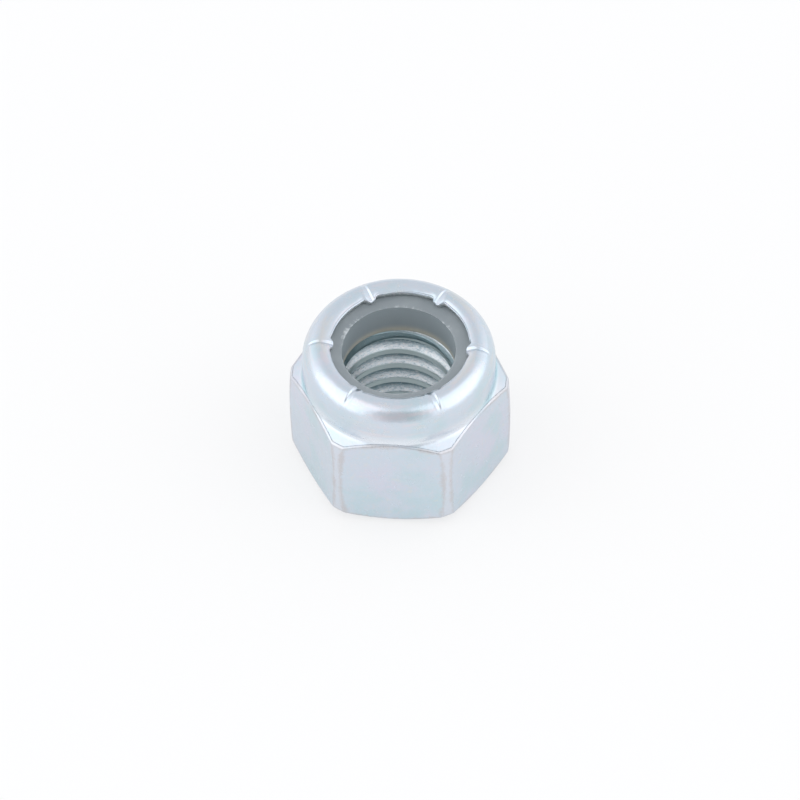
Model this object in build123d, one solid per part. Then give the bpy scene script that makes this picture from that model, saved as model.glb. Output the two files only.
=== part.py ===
from build123d import *
from build123d.topology import SkipClean
import math
import os

# A 3/8-16 UNC lock nut: a cold-formed steel hexagon whose collar is rolled and crimped
# over a nylon ring.  Millimetres, +Z up.  The origin is where the axis of the thread
# meets the bearing face, and two corners of the hexagon lie on the X axis.

# --- hexagon ----------------------------------------------------------------------------
hex_sides = 6
across_flats = 14.1
hex_height = 8.28              # bearing face to the top edge of a flat, at its middle
corner_blunting_middle = 0.16  # how far the blunt corners fall short of sharp ones, half way up
corner_blunting_ends = 0.27    # and where the chamfers meet them
bottom_chamfer_width = 0.60    # from a flat in to the edge of the bearing face
bottom_chamfer_angle = 27.0    # degrees from the bearing plane
top_chamfer_angle = 31.0

# --- thread, 3/8-16 UNC, right-hand -------------------------------------------------------
thread_major_diameter = 9.525
thread_pitch = 1.5875
thread_height = 0.82           # major radius less the radius at the crests
thread_flank_angle = 30.0      # degrees from a plane square to the axis; the roots are sharp
thread_phase = 0.12            # height at which the middle of the groove passes the +X side
bottom_countersink_width = 1.15
bottom_countersink_angle = 45.0  # degrees from the bearing plane
top_countersink_width = 0.42
top_countersink_angle = 60.0
bore_sectors = 3               # the crests are drawn a third of a turn at a time

# --- collar -------------------------------------------------------------------------------
collar_height = 3.34           # top edge of a flat to the crest of the lip
collar_wall = 0.95
collar_base_bevel = 0.30       # widens the foot of the collar, on to the top chamfer
shoulder_turn = 42.0           # degrees the shoulder leans in before the lip's tighter roll

# --- rolled lip ---------------------------------------------------------------------------
lip_overhang = 0.95            # how far the lip reaches in over the insert
lip_roll_radius = 1.16
lip_end_angle = 26.5           # degrees that the roll goes on past its crest
lip_thickness = 0.70
lip_bevel = 0.17               # the lip's cut edge leans outwards, down to the insert
seat_bevel = 0.40              # in the turn between the collar's wall and the lip

# --- crimps, one on each corner of the hexagon --------------------------------------------
crimp_depth = 0.27             # under the crest of the lip
crimp_edge_radius = 2.45       # the crimping edge is curved, so a crimp fades outwards
crimp_flank_angle = 50.0       # degrees between a flank and the middle of the crimp
crimp_start = 20.0             # degrees above the horizontal, outside the collar
crimp_sweep = 105.0            # degrees, from there to past the edge of the lip
tooth_width = 0.9              # the lip's edge is pushed into a tooth at each crimp
tooth_tip_width = 0.25
tooth_reach = 0.22
tooth_drop = 0.15              # top of a tooth, below the lip's edge
tooth_root = 0.35              # how far back into the lip a tooth is rooted

# --- nylon insert -------------------------------------------------------------------------
insert_diameter = 11.96
insert_height = 2.50
insert_bore_diameter = 8.20
insert_clearance = 0.02        # at its rim and under the lip
insert_edge_bevel = 0.40       # its upper outer edge fills the turn of the lip
insert_dish = 0.12             # its top sinks towards the bore

# --- sizes that follow ----------------------------------------------------------------------
flat_radius = across_flats / 2
sharp_corner_radius = flat_radius / math.cos(math.pi / hex_sides)
corner_middle_radius = sharp_corner_radius - corner_blunting_middle
corner_end_radius = sharp_corner_radius - corner_blunting_ends
bearing_radius = flat_radius - bottom_chamfer_width
bottom_chamfer_slope = math.tan(math.radians(bottom_chamfer_angle))
top_chamfer_slope = math.tan(math.radians(top_chamfer_angle))

nut_height = hex_height + collar_height
insert_radius = insert_diameter / 2
insert_bore_radius = insert_bore_diameter / 2
seat_radius = insert_radius + insert_clearance
collar_radius = seat_radius + collar_wall
lip_radius = seat_radius - lip_overhang
lip_roll = lip_roll_radius * math.sin(math.radians(lip_end_angle))
lip_drop = lip_roll_radius * (1 - math.cos(math.radians(lip_end_angle)))
crest_radius = lip_radius + lip_roll
lip_edge_height = nut_height - lip_drop
lip_underside = nut_height - lip_thickness
insert_top = lip_underside - insert_clearance
seat_height = insert_top - insert_height
thread_slope = math.tan(math.radians(thread_flank_angle))
pitch_radius = thread_major_diameter / 2 - thread_pitch * 3 / 16 / thread_slope
bore_radius = thread_major_diameter / 2 - thread_height
collar_base = hex_height + collar_base_bevel  # where the plain wall of the collar starts


def turned(*edges):
    """Turn an outline, drawn as radius and height, about the axis of the thread."""
    return revolve(Plane.XZ * make_face(edges), Axis.Z)


def top_chamfer_height(radius):
    """Height of the conical top chamfer at a radius."""
    return hex_height - (radius - flat_radius) * top_chamfer_slope


def hexagon():
    """The hexagon: a prism whose corners and chamfers are those of a turned blank."""
    lower_corner = (corner_end_radius, (corner_end_radius - bearing_radius) * bottom_chamfer_slope)
    upper_corner = (corner_end_radius, top_chamfer_height(corner_end_radius))
    middle_corner = (corner_middle_radius, (lower_corner[1] + upper_corner[1]) / 2)
    foot_radius = collar_radius + collar_base_bevel
    blank = turned(
        ThreePointArc(lower_corner, middle_corner, upper_corner),
        Polyline(
            upper_corner,
            (foot_radius, top_chamfer_height(foot_radius)),
            (collar_radius, collar_base),
            (0, collar_base),
            (0, 0),
            (bearing_radius, 0),
            lower_corner,
        ),
    )
    prism = extrude(RegularPolygon(flat_radius, hex_sides, major_radius=False), nut_height)
    return blank & prism


def collar():
    """The collar as a solid plug, whose shoulder turns in and then rolls over as the lip."""
    lean = math.radians(shoulder_turn)
    crest = (crest_radius, nut_height)
    lip_edge = (lip_radius, lip_edge_height)
    roll_start = (
        crest_radius + lip_roll_radius * math.cos(lean),
        nut_height - lip_roll_radius * (1 - math.sin(lean)),
    )
    shoulder_radius = (collar_radius - roll_start[0]) / (1 - math.cos(lean))
    wall_top = (collar_radius, roll_start[1] - shoulder_radius * math.sin(lean))
    return turned(
        Polyline(lip_edge, (0, lip_edge_height), (0, collar_base), (collar_radius, collar_base), wall_top),
        TangentArc(wall_top, roll_start, tangent=(0, 1)),
        ThreePointArc(roll_start, crest, lip_edge),
    )


def seat():
    """The room for the insert, and the opening that the lip leaves above it."""
    above = lip_edge_height + lip_drop
    lean = lip_bevel / (lip_edge_height - lip_underside)
    return turned(
        Polyline(
            (0, seat_height),
            (seat_radius, seat_height),
            (seat_radius, lip_underside - seat_bevel),
            (seat_radius - seat_bevel, lip_underside),
            (lip_radius + lip_bevel, lip_underside),
            (lip_radius - lip_drop * lean, above),
            (0, above),
            close=True,
        )
    )


def tooth():
    """The metal that a crimp pushes into the opening, at the edge of the lip."""
    root_radius = lip_radius + tooth_root
    tip_radius = lip_radius - tooth_reach
    outline = Polyline(
        (root_radius, -tooth_width / 2),
        (root_radius, tooth_width / 2),
        (tip_radius, tooth_tip_width / 2),
        (tip_radius, -tooth_tip_width / 2),
        close=True,
    )
    height = lip_edge_height - tooth_drop - lip_underside
    return Pos(Z=lip_underside) * extrude(make_face(outline), height)


def crimp():
    """The groove of one crimp: a V with a curved bottom line, which lies along a radius."""
    centre = (crest_radius, 0, nut_height - crimp_depth - crimp_edge_radius)
    opening = 2 * crimp_depth
    half_width = opening * math.tan(math.radians(crimp_flank_angle))
    outline = Polyline(
        (crimp_edge_radius, 0),
        (crimp_edge_radius + opening, half_width),
        (crimp_edge_radius + opening, -half_width),
        close=True,
    )
    start = Pos(*centre) * Rot(Y=-crimp_start) * make_face(outline)
    return revolve(start, Axis(centre, (0, -1, 0)), crimp_sweep)


def countersink(width, angle):
    """The cone cut into an end of the bore, with its mouth at height 0."""
    depth = width * math.tan(math.radians(angle))
    return turned(
        Polyline((0, 0), (bore_radius + width, 0), (bore_radius, -depth), (0, -depth), close=True)
    )


def thread_turn(height):
    """One turn of the thread's groove, whose root leaves the +X side at a height."""
    mouth_radius = bore_radius - thread_height / 4
    root_radius = pitch_radius + thread_pitch / 4 / thread_slope
    mouth = (root_radius - mouth_radius) * thread_slope
    corners = ((mouth_radius, -mouth), (root_radius, 0), (mouth_radius, mouth))
    helices = [
        Pos(Z=height + offset) * Edge.make_helix(thread_pitch, thread_pitch, radius)
        for radius, offset in corners
    ]
    sides = [
        Face.make_surface_from_curves(helices[index - 1], helix)
        for index, helix in enumerate(helices)
    ]
    ends = [Face(Wire.make_polygon([helix @ end for helix in helices])) for end in (0, 1)]
    return Solid(Shell(sides + ends))


def bored(body):
    """Drill, countersink and tap the nut."""
    arc = 360 / bore_sectors
    drill = Solid.make_cylinder(bore_radius, nut_height, Plane.XY, arc)
    turns = math.ceil(seat_height / thread_pitch) + 2
    with SkipClean():  # cleaning would join the sectors' faces again
        for sector in range(bore_sectors):
            body -= Rot(Z=sector * arc) * drill
        body -= Rot(X=180) * countersink(bottom_countersink_width, bottom_countersink_angle)
        body -= Pos(Z=seat_height) * countersink(top_countersink_width, top_countersink_angle)
        for turn in range(turns):
            body -= thread_turn(thread_phase + (turn - 1) * thread_pitch)
    return body


def nut_body():
    """The steel piece: hexagon, collar, seat, bore and the crimps in the lip."""
    corners = PolarLocations(0, hex_sides)
    body = hexagon() + collar() - seat()
    body += [place * tooth() for place in corners]
    body -= [place * crimp() for place in corners]
    return bored(body)


def nylon_insert():
    """The nylon ring, which stands on the floor of the seat and fills the turn of the lip."""
    return turned(
        Polyline(
            (insert_radius, seat_height),
            (insert_radius, insert_top - insert_edge_bevel),
            (insert_radius - insert_edge_bevel, insert_top),
            (lip_radius, insert_top),
            (insert_bore_radius, insert_top - insert_dish),
            (insert_bore_radius, seat_height),
            close=True,
        )
    )


os.makedirs("parts", exist_ok=True)
export_step(nut_body(), "parts/nut_body.step")
export_step(nylon_insert(), "parts/nylon_insert.step")
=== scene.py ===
import logging
import math
from dataclasses import dataclass, field
from enum import Enum

import bpy
import numpy as np
from mathutils import Matrix, Vector


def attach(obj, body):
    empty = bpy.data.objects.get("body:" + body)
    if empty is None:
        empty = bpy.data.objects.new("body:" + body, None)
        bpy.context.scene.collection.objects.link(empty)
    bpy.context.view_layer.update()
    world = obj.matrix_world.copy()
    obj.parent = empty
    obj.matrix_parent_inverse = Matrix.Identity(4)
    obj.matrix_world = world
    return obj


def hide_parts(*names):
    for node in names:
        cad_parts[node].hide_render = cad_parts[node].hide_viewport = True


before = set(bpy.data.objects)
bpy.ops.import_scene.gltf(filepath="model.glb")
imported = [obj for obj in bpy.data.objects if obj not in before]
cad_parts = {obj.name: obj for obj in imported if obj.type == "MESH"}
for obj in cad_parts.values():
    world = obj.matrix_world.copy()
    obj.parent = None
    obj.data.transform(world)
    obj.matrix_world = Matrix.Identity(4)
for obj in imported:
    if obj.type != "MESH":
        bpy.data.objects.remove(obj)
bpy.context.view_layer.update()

log = logging.getLogger("lock_nut")

MM = 0.001  # every size below is in millimetres, and Blender works in metres

# A nylon insert lock nut: a zinc-plated steel hexagon whose collar is rolled and crimped over
# a nylon ring.  +Z is up, the thread's axis is Z, and two corners of the hexagon lie on X.


# ---------------------------------------------------------------------------------------
# Arithmetic in node trees
# ---------------------------------------------------------------------------------------


class Formula:
    """A number that Math nodes work out for every point, written as ordinary arithmetic."""

    def __init__(self, tree: bpy.types.NodeTree, value: "bpy.types.NodeSocket | float") -> None:
        """Wrap an output socket or a plain number of a node tree."""
        self.tree = tree
        self.value = value

    def feed(self, socket: bpy.types.NodeSocket) -> None:
        """Give this number to an input socket.

        Args:
            socket: The input that takes the number.
        """
        if isinstance(self.value, (int, float)):
            socket.default_value = self.value
        else:
            self.tree.links.new(self.value, socket)

    def math(self, operation: str, *others: "Formula | float", clamp: bool = False) -> "Formula":
        """Add one Math node that takes this number first.

        Args:
            operation: The name of the node's operation.
            others: The node's other inputs.
            clamp: Whether the result is held between 0 and 1.

        Returns:
            The node's result.
        """
        node = self.tree.nodes.new("ShaderNodeMath")
        node.operation = operation
        node.use_clamp = clamp
        for socket, other in zip(node.inputs, (self, *others)):
            (other if isinstance(other, Formula) else Formula(self.tree, other)).feed(socket)
        return Formula(self.tree, node.outputs[0])

    def __add__(self, other: "Formula | float") -> "Formula":
        """This number plus another."""
        return self.math("ADD", other)

    def __sub__(self, other: "Formula | float") -> "Formula":
        """This number less another."""
        return self.math("SUBTRACT", other)

    def __mul__(self, other: "Formula | float") -> "Formula":
        """This number times another."""
        return self.math("MULTIPLY", other)

    def __truediv__(self, other: "Formula | float") -> "Formula":
        """This number over another."""
        return self.math("DIVIDE", other)

    __radd__ = __add__
    __rmul__ = __mul__

    def __rsub__(self, other: float) -> "Formula":
        """A plain number less this one."""
        return Formula(self.tree, other).math("SUBTRACT", self)

    def __abs__(self) -> "Formula":
        """This number without its sign."""
        return self.math("ABSOLUTE")

    def largest(self, other: "Formula | float", blend: float = 0.0) -> "Formula":
        """The larger of two numbers, rounded over within the blend of where they meet."""
        return self.math("SMOOTH_MAX", other, blend) if blend else self.math("MAXIMUM", other)

    def smallest(self, other: "Formula | float", blend: float = 0.0) -> "Formula":
        """The smaller of two numbers, rounded over within the blend of where they meet."""
        return self.math("SMOOTH_MIN", other, blend) if blend else self.math("MINIMUM", other)

    def ramp(self, start: float, end: float) -> "Formula":
        """A straight rise from 0 at the start to 1 at the end, and level beyond them."""
        return (self - start).math("DIVIDE", end - start, clamp=True)

    def bell(self) -> "Formula":
        """A smooth hump that is 1 where this number is 0."""
        return (self * self * -1.0).math("EXPONENT")


class Mark(Enum):
    """The marks that the meshes' points carry, which the node trees and the finishes read."""

    CRIMP = "crimp"
    LIP = "lip"
    CUT = "cut"
    EDGE = "edge"
    BAND = "band"
    BROW = "brow"
    RIM = "rim"
    FOOT = "foot"
    BORE = "bore"
    GROOVE = "groove"
    MOUTH = "mouth"
    FLASH = "flash"
    DEEP = "deep"


class Slot(Enum):
    """The record's material slots."""

    STEEL = "zinc_plated_steel"
    NYLON = "grey_nylon"


# ---------------------------------------------------------------------------------------
# Sizes of the nut
# ---------------------------------------------------------------------------------------


@dataclass(frozen=True)
class Hexagon:
    """The hexagon's sizes, in millimetres and degrees."""

    sides: int = 6
    across_flats: float = 14.1
    height: float = 8.28
    corner_radius_middle: float = 7.981
    corner_radius_ends: float = 7.871
    bearing_radius: float = 6.45
    bottom_chamfer_angle: float = 27.0
    top_chamfer_angle: float = 31.0
    mouth_rounding: float = 0.06
    bearing_rounding: float = 0.08
    edge_rounding: float = 0.10
    corner_rounding: float = 0.035
    edge_reach: float = 0.42  # how far from an edge the rubbed plating reaches
    band_blend: float = 0.10  # over which the colour of a blunt corner fades out
    brow_reach: float = 0.12  # how far below a flat's top edge the dark specks reach
    rim_distance: float = 0.24  # from the top chamfer's outer edge in to the fine line on it
    rim_reach: float = 0.05  # half the line's width

    @property
    def flat_radius(self) -> float:
        """Axis to the middle of a flat."""
        return self.across_flats / 2

    @property
    def bottom_slope(self) -> float:
        """Rise of the bottom chamfer for each millimetre outwards."""
        return math.tan(math.radians(self.bottom_chamfer_angle))

    @property
    def top_slope(self) -> float:
        """Fall of the top chamfer for each millimetre outwards."""
        return math.tan(math.radians(self.top_chamfer_angle))

    @property
    def corner_low(self) -> float:
        """Height at which the blunt corners start."""
        return (self.corner_radius_ends - self.bearing_radius) * self.bottom_slope

    @property
    def corner_high(self) -> float:
        """Height at which the blunt corners end."""
        return self.height - (self.corner_radius_ends - self.flat_radius) * self.top_slope


@dataclass(frozen=True)
class Collar:
    """The collar's and the rolled lip's sizes, in millimetres and degrees."""

    radius: float = 6.95
    base_fillet: float = 0.45
    top: float = 11.62
    shoulder_turn: float = 42.0  # how far the wall leans in before the tighter roll takes over
    roll_radius: float = 1.16
    roll_end: float = 26.5  # past the crest, where the lip is cut off
    crimps_start: float = 34.0  # turn from upright at which the crimps start
    crimps_turn: float = 80.0  # and over which they grow to the full
    lip_turn: float = 26.0  # past the crest, over which the lip counts more and more as edge
    lip_radius: float = 5.05
    lip_bevel: float = 0.17
    lip_edge_rounding: float = 0.045
    lip_foot_rounding: float = 0.05
    lip_underside: float = 10.92
    underside_radius: float = 5.60
    seat_radius: float = 6.0
    seat_bevel: float = 0.40
    seat_height: float = 8.40
    seat_floor_radii: tuple = (5.5, 5.0)
    droop: float = 0.09  # how far the lip's edge bends down
    droop_start: float = 5.75  # the radius at which it starts to
    droop_run_in: float = 0.3  # share of the crimps' length over which the bend comes in

    @property
    def crest_radius(self) -> float:
        """Axis to the crest of the lip."""
        return self.lip_radius + self.roll_radius * math.sin(math.radians(self.roll_end))

    @property
    def edge_height(self) -> float:
        """Height of the lip's inner edge."""
        return self.top - self.roll_radius * (1 - math.cos(math.radians(self.roll_end)))


@dataclass(frozen=True)
class Thread:
    """The 3/8-16 thread's and its countersinks' sizes, in millimetres and degrees."""

    pitch: float = 1.5875
    crest_radius: float = 3.9425
    sharp_root_radius: float = 4.9343
    cut_root_radius: float = 4.85
    flank_angle: float = 30.0
    phase: float = 0.12  # height at which the middle of the groove passes +X
    bottom_mouth_radius: float = 5.0925
    top_mouth_radius: float = 4.3625
    bottom_countersink_angle: float = 45.0
    top_countersink_angle: float = 60.0
    edge_rounding: float = 0.012
    root_rounding: float = 0.06
    mouth_rounding: float = 0.02
    mouth_blend: float = 0.04  # over which the colour of a countersink comes in


@dataclass(frozen=True)
class Crimps:
    """The six crimps' sizes, in millimetres and degrees, and how far each is off its place."""

    count: int = 6
    depth: float = 0.13
    depth_at_start: float = 0.40  # share of the depth where the groove starts on the shoulder
    broad_side: float = 0.36  # width of the groove's broad face at the lip's edge
    narrow_side: float = 0.18
    width_at_start: float = 0.50
    run_in: float = 0.14  # share of the groove's length over which it comes out of the shoulder
    valley_rounding: float = 0.05
    pushed_inward: float = 0.25  # how far the groove goes inward, as a share of its depth
    ridge: float = 0.012  # height of the ridge beside the groove
    ridge_place: float = 1.25  # in widths of the groove's face
    ridge_width: float = 0.08
    tooth_reach: float = 0.17
    tooth_half_width: float = 0.52
    tooth_side: float = 0.62  # share of the half width that the tooth's side takes up
    tooth_drop: float = 0.06
    more_reach_behind: float = 0.55  # how much further the teeth at +Y reach, and the others less
    recess: float = 0.05  # how far the edge draws back beside a tooth
    recess_place: float = 1.25  # in half widths of the tooth
    recess_width: float = 0.24
    torn: float = 0.025  # how far the cut edge wanders
    torn_fine: float = 2.6  # waves of its fine and its coarse tears for each millimetre
    torn_coarse: float = 0.5
    out_of_round: float = 0.23  # how far the edge's circle is off at its worst
    out_of_round_azimuth: float = 150.0
    offsets: tuple = (-1.5, 0.2, -1.3, 2.5, -1.4, 1.5)  # degrees, counted from +X
    seed: float = 4.0


# ---------------------------------------------------------------------------------------
# The steel piece
# ---------------------------------------------------------------------------------------


@dataclass
class HalfSection:
    """Rows of points round the axis, which together are the closed half-section at every angle."""

    azimuth: np.ndarray
    rows: list = field(default_factory=list)
    flanking: float = 1.7  # how far off a corner its outermost rows lie, in roundings
    corner_steps: tuple = (0.0, 0.25, 0.5, 0.75, 1.0)
    weld_steps: float = 1e5  # in each millimetre; points in the same step are welded

    def add(
        self,
        radius: "np.ndarray | float",
        height: "np.ndarray | float",
        angle: "np.ndarray | None" = None,
        marks: "dict[Mark, np.ndarray | float] | None" = None,
    ) -> None:
        """Add one row.

        Args:
            radius: Radius of the row's points.
            height: Height of the points.
            angle: Angles of the points in degrees, where they aren't the columns' own.
            marks: Marks that the points carry.
        """
        ones = np.ones_like(self.azimuth)
        turned = self.azimuth if angle is None else angle
        self.rows.append((turned, radius * ones, height * ones, marks or {}))

    def corner(
        self,
        before: tuple,
        at: tuple,
        after: tuple,
        size: float,
        marks: "dict[Mark, float] | None" = None,
        on_side: "SteelBody | None" = None,
    ) -> None:
        """Add the rows of one rounded corner, with a row close on each side of it.

        Args:
            before: Radius and height of a point on the face that comes first.
            at: Radius and height of the sharp corner.
            after: Radius and height of a point on the face that comes next.
            size: How far from the sharp corner the rounding starts.
            marks: Marks that the points carry.
            on_side: The body, where the corner is an edge of its side and the columns follow it.
        """
        ones = np.ones_like(self.azimuth)
        away = [np.stack([(a - b) * ones for a, b in zip(end, at)]) for end in (before, after)]
        away = [vector / np.linalg.norm(vector, axis=0) for vector in away]
        sharp = np.stack([at[0] * ones, at[1] * ones])
        first, last = sharp + away[0] * size, sharp + away[1] * size
        points = [sharp + away[0] * size * self.flanking]
        for t in self.corner_steps:
            points.append(first * (1 - t) ** 2 + 2 * sharp * t * (1 - t) + last * t**2)
        points.append(sharp + away[1] * size * self.flanking)
        for radius, height in points:
            if on_side is None:
                self.add(radius, height, marks=marks)
            else:
                angle = on_side.turned_azimuth(self.azimuth, height)
                self.add(radius, height, angle, on_side.side_marks(angle, height))

    def mesh(self, name: str) -> bpy.types.Object:
        """Join the rows into one closed mesh, welded where points coincide.

        Args:
            name: The name of the object and its mesh.

        Returns:
            The object, with the marks as attributes of its points.
        """
        angles, radii, heights = (np.stack([row[i] for row in self.rows], axis=1) for i in range(3))
        angles = np.radians(angles)
        points = np.stack([radii * np.cos(angles), radii * np.sin(angles), heights], axis=2)
        columns, count = radii.shape
        keys = np.round(points.reshape(-1, 3) * self.weld_steps).astype(np.int64)
        _, first, place = np.unique(keys, axis=0, return_index=True, return_inverse=True)
        place = place.reshape(columns, count)
        here, there = place[:-1], place[1:]
        quads = np.stack([here, there, np.roll(there, -1, 1), np.roll(here, -1, 1)], axis=2)
        faces = []
        for quad in quads.reshape(-1, 4).tolist():
            face = [corner for index, corner in enumerate(quad) if corner != quad[index - 1]]
            if len(set(face)) == len(face) and len(face) > 2:
                faces.append(face)
        mesh = bpy.data.meshes.new(name)
        mesh.from_pydata((points.reshape(-1, 3)[first] * MM).tolist(), [], faces)
        for mark in sorted({mark for row in self.rows for mark in row[3]}, key=lambda m: m.value):
            values = [np.broadcast_to(row[3].get(mark, 0.0), columns) for row in self.rows]
            values = np.stack(values, axis=1).astype(np.float32).reshape(-1)[first]
            attribute = mesh.attributes.new(mark.value, "FLOAT", "POINT")
            attribute.data.foreach_set("value", np.ascontiguousarray(values))
        mesh.update()
        piece = bpy.data.objects.new(name, mesh)
        bpy.context.scene.collection.objects.link(piece)
        return piece


@dataclass
class SteelBody:
    """The zinc-plated steel piece: hexagon, collar, crimped lip, seat and tapped bore."""

    hexagon: Hexagon = field(default_factory=Hexagon)
    collar: Collar = field(default_factory=Collar)
    thread: Thread = field(default_factory=Thread)
    crimps: Crimps = field(default_factory=Crimps)
    # degrees from a corner to the middle of a flat
    half_sector_offsets: tuple = (
        0.0, 0.4, 0.8, 1.2, 1.6, 2.0, 2.4, 2.8, 3.1, 3.3, 3.45, 3.6, 3.75, 3.9, 4.1,
        4.4, 4.8, 5.4, 6.2, 7.4, 9.2, 11.5, 14.0, 17.0, 20.0, 23.0, 26.5, 30.0,
    )
    # shares of the side's height
    side_steps: tuple = (
        0.0, 0.012, 0.03, 0.06, 0.12, 0.2, 0.3, 0.4, 0.5, 0.6, 0.7, 0.8, 0.88, 0.94, 0.97, 0.988, 1.0,
    )
    # shares of a pitch, from the middle of the groove to the middle of the crest
    thread_fractions: tuple = (
        0.0, 0.03, 0.06, 0.13, 0.21, 0.29, 0.340, 0.3545, 0.3607, 0.3670, 0.385, 0.44, 0.5,
    )
    chamfer_rows: int = 11
    shoulder_rows: int = 12
    roll_rows: int = 30
    settling_rounds: int = 12

    def azimuths(self) -> np.ndarray:
        """Angles of the half-sections, once round and closed, closest together at the corners.

        Returns:
            The angles in degrees, from 0 to 360.
        """
        rising = np.array(self.half_sector_offsets)
        sector = np.concatenate([rising, 60 - rising[-2::-1]])
        turn = [sector[:-1] + 60 * side for side in range(self.hexagon.sides)]
        return np.concatenate([*turn, [360.0]])

    def corner_radius(self, height: np.ndarray) -> np.ndarray:
        """Radius of the blunt corners' barrel surface.

        Args:
            height: Heights above the bearing face.

        Returns:
            The radius at each height.
        """
        h = self.hexagon
        middle = (h.corner_low + h.corner_high) / 2
        reach = (h.corner_high - h.corner_low) / 2
        share = np.clip((height - middle) / reach, -1, 1) ** 2
        return h.corner_radius_middle - (h.corner_radius_middle - h.corner_radius_ends) * share

    def band_angle(self, height: np.ndarray) -> np.ndarray:
        """Half the angle in degrees that a blunt corner takes up at each height."""
        return 30 - np.degrees(np.arccos(self.hexagon.flat_radius / self.corner_radius(height)))

    def turned_azimuth(self, azimuth: np.ndarray, height: np.ndarray) -> np.ndarray:
        """Shift the columns of the side wall, so that they follow the edges of the blunt corners.

        Args:
            azimuth: The columns' own angles in degrees.
            height: Heights above the bearing face.

        Returns:
            The angles at those heights.
        """
        corner = 60 * np.round(azimuth / 60)
        offset = azimuth - corner
        size = np.abs(offset)
        own = self.band_angle(np.full_like(azimuth, self.hexagon.corner_low))
        here = self.band_angle(height)
        inner = size * here / own
        outer = here + (size - own) * (30 - here) / (30 - own)
        return corner + np.sign(offset) * np.where(size <= own, inner, outer)

    def wall_radius(self, azimuth: np.ndarray, height: np.ndarray) -> np.ndarray:
        """Radius of the hexagon's side.

        Args:
            azimuth: Angles in degrees.
            height: Heights above the bearing face.

        Returns:
            The radius at each angle and height.
        """
        off_flat = np.radians(azimuth - 30 - 60 * np.round((azimuth - 30) / 60))
        flat = self.hexagon.flat_radius / np.cos(off_flat)
        corner = self.corner_radius(height)
        blend = self.hexagon.corner_rounding
        nearness = np.clip(blend - np.abs(flat - corner), 0, None) / blend
        return np.minimum(flat, corner) - nearness**3 * blend / 6

    def side_edge(self, top: bool) -> tuple[np.ndarray, np.ndarray]:
        """Where the side meets a chamfer.

        Args:
            top: Whether the chamfer is the top one.

        Returns:
            The radius and the height at each column.
        """
        h, azimuth = self.hexagon, self.azimuths()
        radius = np.full_like(azimuth, h.corner_radius_ends)
        for _ in range(self.settling_rounds):
            if top:
                height = h.height - (radius - h.flat_radius) * h.top_slope
            else:
                height = (radius - h.bearing_radius) * h.bottom_slope
            radius = self.wall_radius(self.turned_azimuth(azimuth, height), height)
        return radius, height

    def side_marks(self, angle: np.ndarray, height: np.ndarray) -> dict[Mark, np.ndarray]:
        """Marks of points on the hexagon's side.

        Args:
            angle: Angles of the points in degrees.
            height: Their heights above the bearing face.

        Returns:
            EDGE falls from 1 on an edge to 0 a little way off, BAND is 1 on a blunt corner,
            and BROW is 1 at the top of the side.
        """
        h = self.hexagon
        low, high = self.side_edge(top=False), self.side_edge(top=True)
        off_corner = np.abs(angle - 60 * np.round(angle / 60))
        into_band = np.radians(self.band_angle(height) - off_corner) * h.corner_radius_middle
        off_end = np.minimum(np.abs(height - low[1]), np.abs(high[1] - height))
        nearest = np.minimum(np.abs(into_band), off_end)
        return {
            Mark.EDGE: np.clip(1 - nearest / h.edge_reach, 0, 1),
            Mark.BAND: np.clip(0.5 + into_band / h.band_blend, 0, 1),
            Mark.BROW: np.clip(1 - np.abs(high[1] - height) / h.brow_reach, 0, 1),
        }

    def side_rows(self, section: "HalfSection") -> None:
        """Add the bearing face, the bottom chamfer and the hexagon's side.

        Args:
            section: The half-section to add to.
        """
        h = self.hexagon
        low, high = self.side_edge(top=False), self.side_edge(top=True)
        mouth = (self.thread.bottom_mouth_radius, 0.0)
        bearing = (h.bearing_radius, 0.0)
        section.corner((mouth[0] - 1, 1.0), mouth, bearing, h.mouth_rounding)
        section.corner(mouth, bearing, low, h.bearing_rounding)
        section.add((bearing[0] + low[0]) / 2, (bearing[1] + low[1]) / 2)
        section.corner(bearing, low, (low[0], low[1] + 1.0), h.edge_rounding, on_side=self)
        clear_of_edge = 2.2 * h.edge_rounding
        start, end = low[1] + clear_of_edge, high[1] - clear_of_edge
        for step in self.side_steps:
            height = start + (end - start) * step
            angle = self.turned_azimuth(section.azimuth, height)
            marks = self.side_marks(angle, height)
            section.add(self.wall_radius(angle, height), height, angle, marks)

    def top_rows(self, section: "HalfSection") -> float:
        """Add the top chamfer and the fillet that joins it to the collar.

        Args:
            section: The half-section to add to.

        Returns:
            The height at which the fillet ends and the collar's wall starts.
        """
        h, c = self.hexagon, self.collar
        high = self.side_edge(top=True)
        lean, slope = math.radians(90 - h.top_chamfer_angle), math.radians(h.top_chamfer_angle)
        centre = (
            c.radius + c.base_fillet,
            h.height - (c.radius + c.base_fillet - h.flat_radius) * h.top_slope
            + c.base_fillet / math.cos(slope),
        )
        foot_radius = centre[0] - c.base_fillet * math.cos(lean)
        cone = np.clip(high[0] - foot_radius, 0, None) / math.cos(slope)
        share = np.clip((centre[0] - np.minimum(high[0], foot_radius)) / c.base_fillet, -1, 1)
        turn = np.arccos(share)
        length = cone + turn * c.base_fillet

        def on_top(distance: np.ndarray) -> tuple[np.ndarray, np.ndarray]:
            """Find a point on the chamfer or the fillet.

            Args:
                distance: How far in from the side the point lies, along the surface.

            Returns:
                The point's radius and height.
            """
            left = turn - (distance - cone) / c.base_fillet
            cone_point = (high[0] - distance * math.cos(slope), high[1] + distance * math.sin(slope))
            arc_point = (
                centre[0] - c.base_fillet * np.cos(left), centre[1] - c.base_fillet * np.sin(left)
            )
            return tuple(np.where(distance < cone, a, b) for a, b in zip(cone_point, arc_point))

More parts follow.
